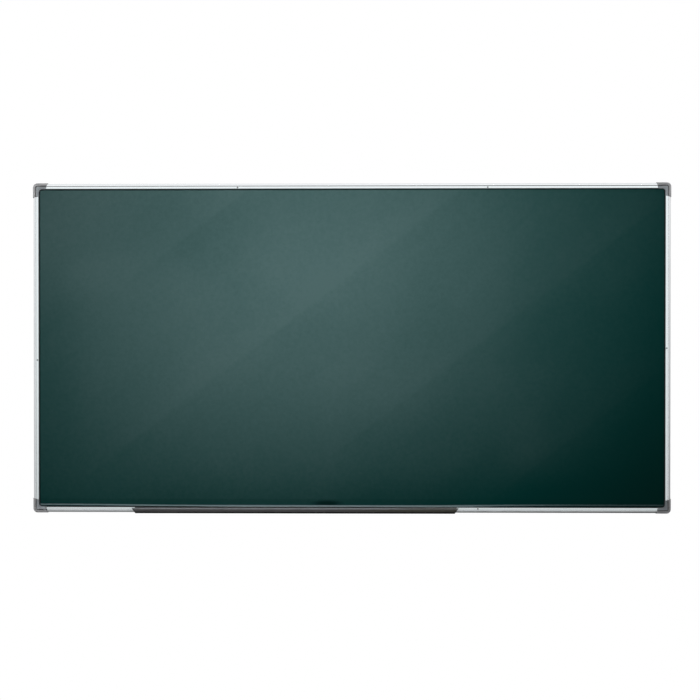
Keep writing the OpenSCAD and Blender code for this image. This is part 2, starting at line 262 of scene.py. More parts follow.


# Bands of painted reflection: each is brightest at its lower edge, clears upward, and starts
# partway along
def paintedReflection(shading, turned):
    along, across = shading.axis(turned, "X"), shading.axis(turned, "Z")
    edge, run = lacquer["reflectionEdge"], lacquer["reflectionStart"]
    reflectionBands = 0
    for low, start in lacquer["reflectionBands"]:
        reflectionBand = shading.fade(across, low, low + lacquer["reflectionWidth"])
        reflectionBand = reflectionBand * (1 - shading.fade(across, low - edge, low + edge))
        begun = 1 - shading.fade(along, start - run, start + run)
        reflectionBands = reflectionBands + reflectionBand * begun * lacquer["reflectionLevel"]
    return reflectionBands


# Chalk line along the bottom edge: it fades by the square of the height, and sags behind the tray
def chalkLine(shading, place, x, z):
    behindTray = shading.fade((x - lacquer["trayMiddle"]).size(), *lacquer["trayFade"])
    rise = z - lacquer["dustHeight"] + behindTray * lacquer["dustSag"]
    line = shading.fade(rise * rise, 0.0, lacquer["dustSpread"] ** 2)
    lodged = shading.noise(place, "lodged")
    amount = lacquer["dustLevel"] + shading.fade(x, *lacquer["dustLeftFade"]) * lacquer["dustLeft"]
    amount = amount + behindTray * lacquer["dustBehindTray"]
    return line * (amount + lodged.swing(lacquer["dustLodged"]))


# Matt green lacquer: a wide haze, partly wiped chalk and partly painted sheen, with painted shade
# at the far corners, clouds, leaning streaks, leaning bands of painted reflection, mottle and
# specks of chalk, more chalk along the bottom edge, a darker strip along it, painted shade along
# the rails, and a sandy grain
def lacquerFinish():
    shading, place = newFinish("boardLacquer", lacquer)
    x, z = shading.axis(place, "X"), shading.axis(place, "Z")
    # the haze is partly wiped chalk and partly painted sheen, brightest up and left of the middle
    away = shading.reach(place, lacquer["hazeAndSheenMiddle"], lacquer["hazeAndSheenReach"])
    hazeAndSheen = shading.fade(away, *lacquer["hazeAndSheenFade"])
    for across, up, wide, tall, more in lacquer["hazePatches"]:
        hazePatch = shading.reach(place, (across, 0, up), (wide, 1, tall))
        hazeAndSheen = hazeAndSheen + shading.fade(hazePatch, *lacquer["hazePatchFade"]) * more
    turned = shading.add("ShaderNodeMapping", {"vector_type": "TEXTURE"}, {
        "Vector": place, "Rotation": (0, -math.radians(lacquer["lean"]), 0)})
    streaks = shading.noise(turned, "streaks")
    clouds, grain, fine, mottle, specks = (
        shading.noise(place, name) for name in ("clouds", "grain", "fine", "mottle", "specks"))
    marks = shading.vary(0, "Haze", cloud=clouds, streak=streaks, grain=grain, mottle=mottle)
    marks = marks + (1 - shading.fade(specks, *lacquer["speckFade"])) * lacquer["speckHaze"]
    # painted reflection in leaning bands
    marks = marks + paintedReflection(shading, turned)
    least = lacquer["marksLeast"]
    hazeAndSheen = ((hazeAndSheen + marks * (least + hazeAndSheen * (1 - least))) * lacquer["hazeAndSheenShare"]).held()
    sideWay, upWay = lacquer["seamAt"]
    inset = (sideWay - x.size()).atMost(upWay - z.size())
    # painted shade along the lips of the rails
    seamShade = shading.fade(inset, *lacquer["seamShadeFade"])
    smear = shading.reach(place, lacquer["smearMiddle"], lacquer["smearReach"])
    smear = shading.fade(smear, *lacquer["smearFade"]) * lacquer["smearShare"]
    strip = shading.fade(z, *lacquer["stripFade"]) * lacquer["stripShare"]
    dust = chalkLine(shading, place, x, z)
    colour = shading.blend(hazeAndSheen, lacquer["deep"], lacquer["hazedAndSheen"])
    # painted shade: away from the middle of the sheen, the far corners turn to the deepest green
    colour = shading.blend(shading.fade(away, *lacquer["farShadeFade"]), lacquer["deepest"], colour)
    colour = shading.blend(strip, colour, lacquer["deepest"])
    colour = shading.blend(seamShade.atLeast(smear), colour, lacquer["seamShade"])
    rough = lacquer["roughness"] + marks * lacquer["marksRough"] + dust * lacquer["dustRough"]
    relief = grain * lacquer["grainRelief"] + fine * lacquer["fineRelief"]
    relief = relief + dust * lacquer["dustRelief"]
    return shading.surface({
        "Base Color": shading.blend(dust.held(), colour, lacquer["dust"]),
        "Roughness": rough}, relief)


aluminium = {
    "dull": (0.87, 0.90, 0.92),
    "bright": (0.95, 0.97, 0.985),
    # painted shade: the dark line along the lip, and darkening in the slot and on the outer edge
    "paintedShade": (0.016, 0.022, 0.023),
    "gloss": 0.06,  # of the painted shade
    "chalk": (0.33, 0.41, 0.42),
    "chalkFade": (0.42, 0.62),
    "chalkLevel": 0.8,
    "greenReflection": (0.96, 1.02, 1.015),  # painted reflection of the green board on the inner band
    "linesStretch": (1.2, 5200.0, 1.0),  # along and round the section
    "lines": (1.0, 3, 0.6),
    "lineTone": 0.7,
    "bandsStretch": (0.6, 900.0, 1.0),
    "bands": (1.0, 3, 0.55),
    "bandTone": 0.6,
    "smudges": (14.0, 4, 0.6, 0.4),
    "smudgeTone": 0.5,
    "lodged": (260.0, 4, 0.7),
    "chalkLodged": 1.0,
    "roughness": 0.2,
    "lineRough": 0.1,
    "smudgeRough": 0.08,
    "paintedShadeRough": 0.5,
    "bump": (0.06, 0.0001),
}


# Satin aluminium: drawn lines run along the extrusion, painted shade darkens the slot, the lip and
# the outer edge, a painted reflection of the green board tints the inner band, and chalk lies on
# the bottom lip
def aluminiumFinish():
    shading, place = newFinish("railAluminium", aluminium)
    run = shading.add("ShaderNodeUVMap", {"uv_map": "run"})
    lines, bands = (shading.noise(run, name) for name in ("lines", "bands"))
    smudges, lodged = (shading.noise(place, name) for name in ("smudges", "lodged"))
    paintedShade, greenReflection, chalk = (shading.layer(name) for name in ("paintedShade", "greenReflection", "chalk"))
    tone = shading.vary(noiseMiddle, "Tone", line=lines, band=bands, smudge=smudges)
    metal = shading.blend(tone.held(), aluminium["dull"], aluminium["bright"])
    # painted reflection of the green board on the inner band
    metal = shading.blend(greenReflection, metal, shading.stretch(metal, aluminium["greenReflection"]))
    rough = shading.vary(aluminium["roughness"], "Rough", line=lines)
    rough = rough + smudges * aluminium["smudgeRough"] + paintedShade * aluminium["paintedShadeRough"]
    fallen = 1 - shading.fade(chalk, *aluminium["chalkFade"])
    fallen = fallen * (aluminium["chalkLevel"] + lodged.swing(aluminium["chalkLodged"]))
    # painted shade darkens the lip, the slot and the outer edge
    colour = shading.blend(paintedShade, metal, aluminium["paintedShade"])
    return shading.surface({
        "Base Color": shading.blend(fallen.held(), colour, aluminium["chalk"]),
        "Metallic": 1 - paintedShade,
        "Roughness": rough}, lines)


capPlastic = {
    "dark": (0.370, 0.373, 0.380),
    "light": (0.450, 0.453, 0.460),
    "pale": (0.62, 0.622, 0.640),  # chalk settled on the bottom caps, and bleached outer sides
    "settledFade": (-0.502, -0.480),
    "settledLevel": 0.65,
    "settledFlow": 1.0,
    "bleachedFade": (0.010, 0.024),
    "bleachedShare": 0.3,
    "grain": (1500.0, 2, 0.65),
    "grainTone": 0.6,
    "grainRough": 0.2,
    "flow": (55.0, 4, 0.5, 0.6),
    "flowTone": 0.8,
    "flowRough": 0.08,
    "frameHalf": (0.983, 0.508),  # half the width and height over the rails
    "greenReflection": (0.91, 0.99, 1.03),  # painted reflection of the green board on the inner band
    "greenReflectionFade": (0.007, 0.013),
    # painted shade in the creases and on the slope to the board
    "creaseShade": (0.006, 0.008, 0.009),
    "creaseShadeReach": 0.004,
    "creaseShadeFade": (0.6, 0.97),
    "front": -0.0258,
    "lipShadeFade": (0.0006, 0.0016),  # behind the front, where the slope to the board turns to painted shade
    "lipInFade": (0.0155, 0.0165),  # way in from the frame's edge to that slope
    "lipShadeShare": 0.97,
    "roughness": 0.46,
    "gloss": 0.2,
    "edge": 0.0005,  # width of the softened edges
    "bump": (0.22, 0.00012),
}


# Grey moulded plastic: spark-eroded grain, faint flow clouds, painted shade in the creases and on
# the slope to the board, and a painted reflection of the green board near the inner edge
def capFinish():
    shading, place = newFinish("capPlastic", capPlastic)
    grain, flow = (shading.noise(place, name) for name in ("grain", "flow"))
    tone = shading.vary(noiseMiddle, "Tone", flow=flow, grain=grain)
    body = shading.blend(tone.held(), capPlastic["dark"], capPlastic["light"])
    x, y, z = (shading.axis(place, name) for name in "XYZ")
    sideWay, upWay = capPlastic["frameHalf"]
    sideIn = sideWay - x.size()
    inset = sideIn.atMost(upWay - z.size())
    thickness = capPlastic["settledLevel"] + flow.swing(capPlastic["settledFlow"])
    settled = shading.fade(z, *capPlastic["settledFade"]) * thickness
    bleached = shading.fade(sideIn, *capPlastic["bleachedFade"]) * capPlastic["bleachedShare"]
    body = shading.blend(settled.atLeast(bleached).atMost(1), body, capPlastic["pale"])
    # painted reflection of the green board near the inner edge
    greenReflection = 1 - shading.fade(inset, *capPlastic["greenReflectionFade"])
    body = shading.blend(greenReflection, body, shading.stretch(body, capPlastic["greenReflection"]))
    # painted shade on the slope to the board, and in the creases where the occlusion is low
    lip = 1 - shading.fade(y - capPlastic["front"], *capPlastic["lipShadeFade"])
    lip = lip * (1 - shading.fade(inset, *capPlastic["lipInFade"])) * capPlastic["lipShadeShare"]
    creaseShade = shading.fade(shading.openness(capPlastic["creaseShadeReach"]), *capPlastic["creaseShadeFade"])
    return shading.surface({
        "Base Color": shading.blend(creaseShade.atLeast(lip), body, capPlastic["creaseShade"]),
        "Roughness": shading.vary(capPlastic["roughness"], "Rough", grain=grain, flow=flow)}, grain)


trayPlastic = {
    "dark": (0.057, 0.0572, 0.0578),
    "light": (0.096, 0.0962, 0.0970),
    "lines": (1.0, 2, 0.6),
    "linesStretch": (2.0, 1700.0, 1700.0),
    "lineTone": 0.8,
    "patches": (22.0, 5, 0.6, 0.8),
    "patchTone": 0.9,
    "grain": (1400.0, 2, 0.6),
    "warm": (1.0, 0.985, 0.80),
    "warmFade": (-0.10, 0.20),  # along x, where the plastic turns darker and browner
    "warmTone": 0.6,
    "rimHighlight": (0.245, 0.260, 0.282),  # painted highlight along the rim of the bow
    "rimHighlightLeast": 0.4,
    "rimFade": (-0.4925, -0.4905),
    "underShade": (0.004, 0.004, 0.0042),  # painted shade on what faces down
    "underShadeFade": (-0.38, -0.12),
    "underShadeShare": 0.97,
    "shade": (0.008, 0.008, 0.0085),  # painted shade on the plate behind the trough
    "shadeShare": 0.85,
    "plateFade": (-0.045, -0.035),  # along y, from the trough to the plate behind it
    "dust": (0.56, 0.57, 0.57),
    "dustFade": (0.2, 0.9),  # by how much a face looks up
    "dustLevel": 0.12,
    "dustPatches": 0.75,
    "dustGrain": 0.6,
    "dustyFade": (0.10, 0.23),  # along x, where the plate is dusty and the painted rim highlight weaker
    "dustyPlate": 1.9,
    "dustyRim": 0.9,
    "roughness": 0.42,
    "patchRough": 0.22,
    "lineRough": 0.12,
    "dustRough": 0.4,
    "gloss": 0.14,
    "edge": 0.0004,
    "lineRelief": 0.6,
    "grainRelief": 0.4,
    "bump": (0.14, 0.0001),
}


# Dark extruded plastic: fine lines along the tray, a satin skin, chalk dust on what faces up, a
# painted highlight along the rim, and painted shade on what faces down and on the plate behind the
# trough
def trayFinish():
    shading, place = newFinish("trayPlastic", trayPlastic)
    lines, patches, grain = (shading.noise(place, name) for name in ("lines", "patches", "grain"))
    x, y, z = (shading.axis(place, name) for name in "XYZ")
    rise = shading.axis(shading.add("ShaderNodeNewGeometry", None, None, "Normal"), "Z")
    dustyEnd = 1 - shading.fade(x, *trayPlastic["dustyFade"])
    warmEnd = 1 - shading.fade(x, *trayPlastic["warmFade"])
    plate = 1 - shading.fade(y, *trayPlastic["plateFade"])
    dust = trayPlastic["dustLevel"] + patches * trayPlastic["dustPatches"]
    dust = dust + grain.swing(trayPlastic["dustGrain"])
    dust = (1 - shading.fade(rise, *trayPlastic["dustFade"])) * dust
    dust = (dust * (1 - plate + plate * dustyEnd * trayPlastic["dustyPlate"])).held()
    # painted highlight along the rim
    rim = (1 - shading.fade(z, *trayPlastic["rimFade"])) * (1 - plate)
    rim = rim * (1 - dustyEnd * trayPlastic["dustyRim"]) * (trayPlastic["rimHighlightLeast"] + patches)
    # painted shade on what faces down
    underShade = shading.fade(rise, *trayPlastic["underShadeFade"]) * trayPlastic["underShadeShare"]
    # painted shade on the plate behind the trough
    shade = plate * (1 - dustyEnd) * trayPlastic["shadeShare"]
    tone = shading.vary(noiseMiddle, "Tone", line=lines, patch=patches)
    tone = tone - warmEnd * trayPlastic["warmTone"]
    body = shading.blend(tone.held(), trayPlastic["dark"], trayPlastic["light"])
    body = shading.blend(warmEnd, body, shading.stretch(body, trayPlastic["warm"]))
    body = shading.blend(rim.atMost(1), body, trayPlastic["rimHighlight"])
    body = shading.blend(underShade, body, trayPlastic["underShade"])
    body = shading.blend(shade, body, trayPlastic["shade"])
    rough = shading.vary(trayPlastic["roughness"], "Rough", patch=patches, line=lines)
    relief = lines * trayPlastic["lineRelief"] + grain * trayPlastic["grainRelief"]
    return shading.surface({
        "Base Color": shading.blend(dust, body, trayPlastic["dust"]),
        "Roughness": rough + dust * trayPlastic["dustRough"]}, relief)


galvanised = {
    "dark": (0.50, 0.515, 0.525),
    "light": (0.68, 0.69, 0.69),
    "wander": (70.0, 3, 0.6),
    "wanderBy": (0.008, 0.008, 0.008),
    "spangleScale": 150.0,
    "feathers": (420.0, 3, 0.6),
    "feathersStretch": (1, 1, 3),
    "stains": (3.0, 5, 0.6, 0.5),
    "toneFrom": -0.05,
    "crystalTone": 0.55,
    "featherTone": 0.2,
    "stainTone": 0.35,
    "roughness": 0.34,
    "crystalRough": 0.16,
    "featherRough": 0.1,
    "crystalRelief": 0.6,
    "featherRelief": 0.4,
    "bump": (0.1, 0.0001),
}


# Galvanised sheet: each zinc crystal has its own tone and gloss, with fine feathering inside
def galvanisedFinish():
    shading, place = newFinish("galvanisedSteel", galvanised)
    wander, stains = (shading.noise(place, name) for name in ("wander", "stains"))
    bent = shading.vector("ADD", place, shading.stretch(wander, galvanised["wanderBy"]))
    crystal = shading.add("ShaderNodeTexVoronoi", {"feature": "F1"}, {
        "Vector": bent, "Scale": galvanised["spangleScale"]}, "Color")
    crystal = shading.add("ShaderNodeSeparateColor", None, {"Color": crystal}, "Red")
    feathers = shading.noise(bent, "feathers")
    tone = crystal * galvanised["crystalTone"] + feathers * galvanised["featherTone"]
    tone = tone + stains * galvanised["stainTone"] + galvanised["toneFrom"]
    rough = galvanised["roughness"] + crystal * galvanised["crystalRough"]
    relief = crystal * galvanised["crystalRelief"] + feathers * galvanised["featherRelief"]
    return shading.surface({
        "Base Color": shading.blend(tone.held(), galvanised["dark"], galvanised["light"]),
        "Metallic": 1.0,
        "Roughness": rough + feathers.swing(galvanised["featherRough"])}, relief)


coreFibre = {
    "dark": (0.22, 0.15, 0.085),
    "light": (0.48, 0.36, 0.22),
    "fibres": (380.0, 5, 0.7, 1.5),
    "fibresStretch": (1, 1, 0.25),
    "fibreTone": 0.7,
    "flecks": (114.0, 3, 0.5),
    "fleckTone": 0.3,
    "roughness": 0.8,
    "fibreRough": 0.15,
    "bump": (0.4, 0.0003),
}


# Pressed paper core: long fibres in all directions, with darker flecks
def coreFinish():
    shading, place = newFinish("coreFibre", coreFibre)
    fibres, flecks = (shading.noise(place, name) for name in ("fibres", "flecks"))
    tone = fibres * coreFibre["fibreTone"] + flecks * coreFibre["fleckTone"]
    return shading.surface({
        "Base Color": shading.blend(tone, coreFibre["dark"], coreFibre["light"]),
        "Roughness": coreFibre["roughness"] + fibres * coreFibre["fibreRough"]}, fibres)


zincPlate = {
    "blue": (0.36, 0.42, 0.45),
    "straw": (0.46, 0.48, 0.47),
    "clouds": (90.0, 4, 0.6, 0.6),
    "cloudTone": 1.2,
    "rolled": (1.0, 3, 0.6),
    "rolledStretch": (60, 60, 2400),
    "rolledTone": 0.5,
    "pits": (1900.0, 2, 0.6),
    "dirt": (0.020, 0.026, 0.028),
    "dirtReach": 0.0012,
    "dirtFade": (0.55, 0.95),
    "dirtShare": 0.85,
    "roughness": 0.26,
    "cloudRough": 0.2,
    "pitRough": 0.12,
    "dirtRough": 0.4,
    "edge": 0.0003,
    "rolledRelief": 0.5,
    "pitRelief": 0.5,
    "bump": (0.12, 0.0001),
}


# Zinc-plated steel: a cloudy plating from blue to straw over rolling lines, dirt in the recesses
def zincFinish():
    shading, place = newFinish("zincSteel", zincPlate)
    clouds, rolled, pits = (shading.noise(place, name) for name in ("clouds", "rolled", "pits"))
    tone = shading.vary(noiseMiddle, "Tone", cloud=clouds, rolled=rolled)
    plating = shading.blend(tone.held(), zincPlate["blue"], zincPlate["straw"])
    dirt = shading.fade(shading.openness(zincPlate["dirtReach"]), *zincPlate["dirtFade"])
    dirt = dirt * zincPlate["dirtShare"]
    rough = shading.vary(zincPlate["roughness"], "Rough", cloud=clouds, pit=pits)
    relief = rolled * zincPlate["rolledRelief"] + pits * zincPlate["pitRelief"]
    return shading.surface({
        "Base Color": shading.blend(dirt, plating, zincPlate["dirt"]),
        "Metallic": 1 - dirt,
        "Roughness": rough + dirt * zincPlate["dirtRough"]}, relief)


finishes = {
    "rail_aluminium": aluminiumFinish(),
    "cap_plastic": capFinish(),
    "board_lacquer": lacquerFinish(),
    "core": coreFinish(),
    "galvanised_steel": galvanisedFinish(),
    "zinc_steel": zincFinish(),
    "tray_plastic": trayFinish(),
}
corners = ("top_left", "top_right", "bottom_left", "bottom_right")
keptNodes = {
    "cap_plastic": ["corner_cap_" + corner for corner in corners],
    "board_lacquer": ["writing_sheet"],
    "core": ["core_board"],
    "galvanised_steel": ["backing_sheet"],
    "zinc_steel": ["hanger_" + corner for corner in corners],
    "tray_plastic": ["tray_end_cap_left", "tray_end_cap_right"],
}
for finishName, nodeNames in keptNodes.items():
    for nodeName in nodeNames:
        for materialSlot in nodes[nodeName].material_slots:
            materialSlot.material = finishes[finishName]
print("finishes made:", len(finishes))


# Rounded outline: each corner (u, v, radius) gives way to an arc tangent to both its sides.
# Arc point = centre + slerp(first spoke, last spoke)
def roundedLoop(outline, steps, tiny=1e-9):
    outline = np.asarray(outline, float)
    points, radii = outline[:, :2], outline[:, 2]
    back = np.roll(points, 1, 0) - points
    ahead = np.roll(points, -1, 0) - points
    back /= np.linalg.norm(back, axis=1, keepdims=True)
    ahead /= np.linalg.norm(ahead, axis=1, keepdims=True)
    half = np.arccos(np.clip((back * ahead).sum(1), -1, 1)) / 2
    run = (radii / np.tan(half))[:, None]
    reach = (radii / np.sin(half) / np.maximum(2 * np.cos(half), tiny))[:, None]
    centres = points + (back + ahead) * reach
    first = points + back * run - centres
    last = points + ahead * run - centres
    turn = (math.pi - 2 * half)[:, None]
    share = np.linspace(0, 1, steps + 1)
    scale = np.maximum(np.sin(turn), tiny)
    fromFirst = (np.sin((1 - share) * turn) / scale)[..., None]
    fromLast = (np.sin(share * turn) / scale)[..., None]
    arcs = centres[:, None] + fromFirst * first[:, None] + fromLast * last[:, None]
    kept = np.ones(arcs.shape[:2], bool)
    kept[radii == 0, 1:] = False
    return arcs[kept]


def newMesh(name, coords, faces):
    mesh = bpy.data.meshes.new(name)
    mesh.from_pydata(coords, [], faces)
    return mesh


# Four-sided faces of a grid: each row of points is count long and joins the next, here to after
def gridFaces(rows, count, here, after):
    row = np.arange(rows - 1)[:, None] * count
    ring = [row + here, row + after, row + count + after, row + count + here]
    return np.stack(ring, -1).reshape(-1, 4)


# Section carried along a path: point = place(station, u, v), in millimetres. Side faces join each
# station to the next, and both ends are filled. The map "run" is (way along, way round) in metres
def sweptShell(name, loops, stations, place):
    section = np.vstack(loops)
    count = len(section)
    tall = len(stations)
    coords = place(np.repeat(stations, count), *np.tile(section, (tall, 1)).T)
    near, far = stations[:-1, None], stations[1:, None]
    quads, maps, start = [], [], 0
    for loop in loops:
        here = start + np.arange(len(loop))
        after = start + (np.arange(len(loop)) + 1) % len(loop)
        edge = np.linalg.norm(np.roll(loop, -1, 0) - loop, axis=1)
        end = np.cumsum(edge)
        begin = end - edge
        quads.append(gridFaces(tall, count, here, after))
        spots = [(near, begin), (near, end), (far, end), (far, begin)]
        spots = [np.stack(np.broadcast_arrays(*spot), -1) for spot in spots]
        maps.append(np.stack(spots, -2).reshape(-1, 2))
        start += len(loop)
    flat = [np.column_stack([loop * mm, np.zeros(len(loop))]).tolist() for loop in loops]
    ends = np.array(tessellate_polygon(flat))
    faces = np.concatenate(quads).tolist() + ends.tolist() + (ends + (tall - 1) * count).tolist()
    endMap = section[ends.ravel()]
    runMap = np.concatenate([*maps, endMap, endMap]) * mm
    mesh = newMesh(name, coords * mm, faces)
    mesh.uv_layers.new(name="run").data.foreach_set("uv", runMap.astype(np.float32).ravel())
    faceOut(mesh)
    return mesh


def faceOut(mesh, weld=0.0):
    work = bmesh.new()
    work.from_mesh(mesh)
    if weld:
        bmesh.ops.remove_doubles(work, verts=work.verts, dist=weld)
    bmesh.ops.recalc_face_normals(work, faces=work.faces)
    work.to_mesh(mesh)
    work.free()


# Turned form: point = (r(s) cos a, r(s) sin a, z(s)), with z lowered by press(x, y, z)
def turnedGrid(profile, spokes, press=None):
    profile = np.asarray(profile, float)
    angle = np.arange(spokes) * 2 * math.pi / spokes
    x = profile[:, :1] * np.cos(angle)
    y = profile[:, :1] * np.sin(angle)
    z = np.repeat(profile[:, 1:], spokes, 1)
    if press is not None:
        z = z - press(x, y, z)
    here = np.arange(spokes)
    faces = gridFaces(len(profile), spokes, here, (here + 1) % spokes)
    return np.stack([x, y, z], -1).reshape(-1, 3), faces


# Copies of one turned form, each turned about its axis and stood at its place.
# The axis points forward (side -1) or back (side 1) along y
def standCopies(name, coords, faces, places, turns, side, weld=1e-7):
    turns = np.asarray(turns, float)[:, None]
    x, y, z = coords.T
    across = np.cos(turns) * x - np.sin(turns) * y
    upward = np.sin(turns) * x + np.cos(turns) * y
    moved = np.stack([across, side * np.repeat(z[None], len(turns), 0), upward], -1)
    moved = (moved + np.asarray(places, float)[:, None]).reshape(-1, 3)
    step = np.arange(len(places))[:, None, None] * len(coords)
    mesh = newMesh(name, moved * mm, (faces[None] + step).reshape(-1, 4).tolist())
    faceOut(mesh, weld)
    return mesh


# Hands a mesh over as a piece: edges over the sharp angle stay crisp, and wide faces stay flat
def addPiece(mesh, body, replaced, slotName, sharp=32, flatness=80):
    mesh.shade_smooth()
    mesh.set_sharp_from_angle(angle=math.radians(sharp))
    piece = bpy.data.objects.new(mesh.name, mesh)
    scene.collection.objects.link(piece)
    mesh.materials.clear()
    mesh.materials.append(finishes[slotName])
    even = piece.modifiers.new("evenShading", "WEIGHTED_NORMAL")
    even.keep_sharp = True
    even.weight = flatness
    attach(piece, body)
    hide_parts(*replaced)


def drilled(mesh, cutterMesh):
    solid = bpy.data.objects.new("uncut", mesh)
    cutter = bpy.data.objects.new("cutter", cutterMesh)
    scene.collection.objects.link(solid)
    scene.collection.objects.link(cutter)
    hole = solid.modifiers.new("holes", "BOOLEAN")
    hole.operation = "DIFFERENCE"
    hole.solver = "EXACT"
    hole.object = cutter
    graph = bpy.context.evaluated_depsgraph_get()
    cut = bpy.data.meshes.new_from_object(solid.evaluated_get(graph))
    name = mesh.name
    bpy.data.objects.remove(solid)
    bpy.data.objects.remove(cutter)
    bpy.data.meshes.remove(mesh)
    bpy.data.meshes.remove(cutterMesh)
    cut.name = name
    return cut


# Rail section in millimetres: u runs in from the frame's outer edge, v forward from the rails' back
rails = {
    "width": 1966.0,  # over the rails
    "height": 1016.0,
    "endGap": 24.0,  # from the frame's corner to a rail's end, inside the cap
    "standOff": 5.0,  # from the wall to the rails' back
    "front": 19.0,
    "stations": 26,
    "steps": 10,
    # outer boundary: back corner, rounded front edge, slot, inner band, lip, panel channel
    "outer": (
        (0, 0, 0.5), (0, 19, 6), (7.3, 19, 0.22), (7.3, 15.2, 0.25), (17.1, 15.2, 0.25),
        (14.8, 17.5, 0.25), (9.1, 17.5, 0.2), (9.1, 19, 0.22), (15.5, 19, 0.6), (16, 18.5, 0),
        (19, 14.2, 0.1), (7.3, 14.2, 0.2), (7.3, 1.4, 0.2), (19, 1.4, 0.3), (19, 0, 0.45)),
    "chamber": ((1.4, 1.4, 0.4), (1.4, 17.6, 4.6), (6.3, 17.6, 0.2), (6.3, 1.4, 0.4)),
    "screws": {
        "top": (-350.0, 421.0), "bottom": (-382.0, 391.0), "left": (-37.0,), "right": (0.0,)},
    "screwIn": 12.6,
    "headRadius": 2.6,
    "screwRadius": 1.5,
    "clearance": 0.1,
    "holeDepth": 4.6,
    "holeSpokes": 40,
    "cutterRise": 1.0,
    # painted shade at the left or lower end of each rail, and at its other end
    "slotShade": {
        "top": (0.45, 0.8), "bottom": (0.05, 0.1), "left": (0.1, 0.05), "right": (0.05, 0.0)},
    "slotSpan": (7.2, 17.3),
    "slotFloor": 15.1,
    "slotDepth": (18.8, 17.5),  # v at which the slot has no painted shade, and at which its painted shade is darkest
    "edgeShade": {
        "top": (0.0, 0.05), "bottom": (0.5, 0.75), "left": (0.12, 0.03), "right": (0.4, 0.1)},
    "edgeReach": (3.5, 7.0),  # way in over which the painted shade on the outer edge fades out
    "edgeFloor": 12.0,
    "lip": ((16, 18.5), (19, 14.2)),  # top and foot of the slope that meets the board
    "lipOff": 0.15,
    "lipSpan": (-0.05, 1.05),
    # painted shade at the top and at the foot of the slope
    "lipShade": {
        "top": (0.88, 1.0), "bottom": (0.97, 1.0), "left": (0.88, 1.0), "right": (0.88, 1.0)},
    # chalk on the bottom lip: places along the rail, and how far it reaches up the slope there
    "lipChalk": ((-620, -466, -312, 314, 367, 459, 521), (0, 0.7, 1, 1, 0.75, 0.55, 0)),
    "chalkFloor": 14.0,
    "greenReflectionReach": (4.0, 15.0),  # way in over which the metal takes a painted reflection of the green board
}
halfWidth, halfHeight = rails["width"] / 2, rails["height"] / 2


# Place of a section point on a side of the frame: x or z = half the frame - u, y = -(stand-off + v)
def onSide(side):
    def place(along, u, v):
        x, z = {
            "top": (along, halfHeight - u), "bottom": (along, u - halfHeight),
            "left": (u - halfWidth, along), "right": (halfWidth - u, along)}[side]
        return np.stack([x, -(rails["standOff"] + v), z], -1)
    return place


# The way back: along, u and v of a mesh's points
def offSide(side, mesh):
    coords = np.empty(len(mesh.vertices) * 3, np.float32)
    mesh.vertices.foreach_get("co", coords)
    x, y, z = coords.reshape(-1, 3).T / mm
    along, u = {
        "top": (x, halfHeight - z), "bottom": (x, halfHeight + z),
        "left": (z, halfWidth + x), "right": (z, halfWidth - x)}[side]
    return along, u, -y - rails["standOff"]


def screwPlaces(side):
    along = np.array(rails["screws"][side])
    level = np.ones(len(along))
    return onSide(side)(along, rails["screwIn"] * level, rails["front"] * level)


# Screw hole: a straight bore that opens in a cone to the head's radius at the face
def holeCutter(side):
    bore = rails["screwRadius"] + rails["clearance"]
    mouth = rails["headRadius"] + rails["clearance"]
    rise, depth = rails["cutterRise"], rails["holeDepth"]
    profile = (
        (0, rise), (mouth, rise), (mouth, 0), (bore, bore - mouth), (bore, -depth), (0, -depth))
    coords, faces = turnedGrid(profile, rails["holeSpokes"])
    places = screwPlaces(side)
    return standCopies("cutter", coords, faces, places, np.zeros(len(places)), -1)


# Painted shade of a rail's point: it deepens down the slot, from the top of the lip to its foot,
# and out to the edge. Share is the way along the rail
def railShade(side, share, u, v):
    top, foot = np.array(rails["lip"], float)
    slope = foot - top
    way = ((u - top[0]) * slope[0] + (v - top[1]) * slope[1]) / (slope @ slope)
    off = ((u - top[0]) * slope[1] - (v - top[1]) * slope[0]) / np.hypot(*slope)
    lipFrom, lipTo = rails["lipSpan"]
    slotFrom, slotTo = rails["slotSpan"]
    onLip = (np.abs(off) < rails["lipOff"]) & (way > lipFrom) & (way < lipTo)
    inSlot = (u > slotFrom) & (u < slotTo) & (v > rails["slotFloor"]) & ~onLip
    clean, dirtiest = rails["slotDepth"]
    depth = np.clip((clean - v) / (clean - dirtiest), 0, 1)
    slot = depth * inSlot * np.interp(share, (0, 1), rails["slotShade"][side])
    edge = np.interp(u, rails["edgeReach"], (1, 0)) * (v > rails["edgeFloor"])
    edge = edge * np.interp(share, (0, 1), rails["edgeShade"][side])
    return np.where(onLip, np.interp(way, (0, 1), rails["lipShade"][side]), slot + edge)


# Chalk of a rail's point: none but on the bottom lip, where it thickens down the slope
def railChalk(side, along, u, v):
    top, foot = np.array(rails["lip"], float)
    way = np.clip((u - top[0]) / (foot[0] - top[0]), 0, 1) * (v > rails["chalkFloor"])
    return way * np.interp(along, *rails["lipChalk"]) * (side == "bottom")


def makeRail(side):
    loops = [roundedLoop(rails[name], rails["steps"]) for name in ("outer", "chamber")]
    half = (halfWidth if side in ("top", "bottom") else halfHeight) - rails["endGap"]
    stations = np.linspace(-half, half, rails["stations"])
    mesh = drilled(sweptShell("rail_" + side, loops, stations, onSide(side)), holeCutter(side))
    along, u, v = offSide(side, mesh)
    # the layers carry painted shade, chalk and a painted reflection of the green board
    layers = {
        "paintedShade": railShade(side, along / (2 * half) + 0.5, u, v),
        "chalk": railChalk(side, along, u, v),
        "greenReflection": np.interp(u, rails["greenReflectionReach"], (0, 1))}
    for layerName, level in layers.items():
        layer = mesh.attributes.new(layerName, "FLOAT", "POINT")
        layer.data.foreach_set("value", level.astype(np.float32))
    addPiece(mesh, "board", [side + "_rail"], "rail_aluminium")


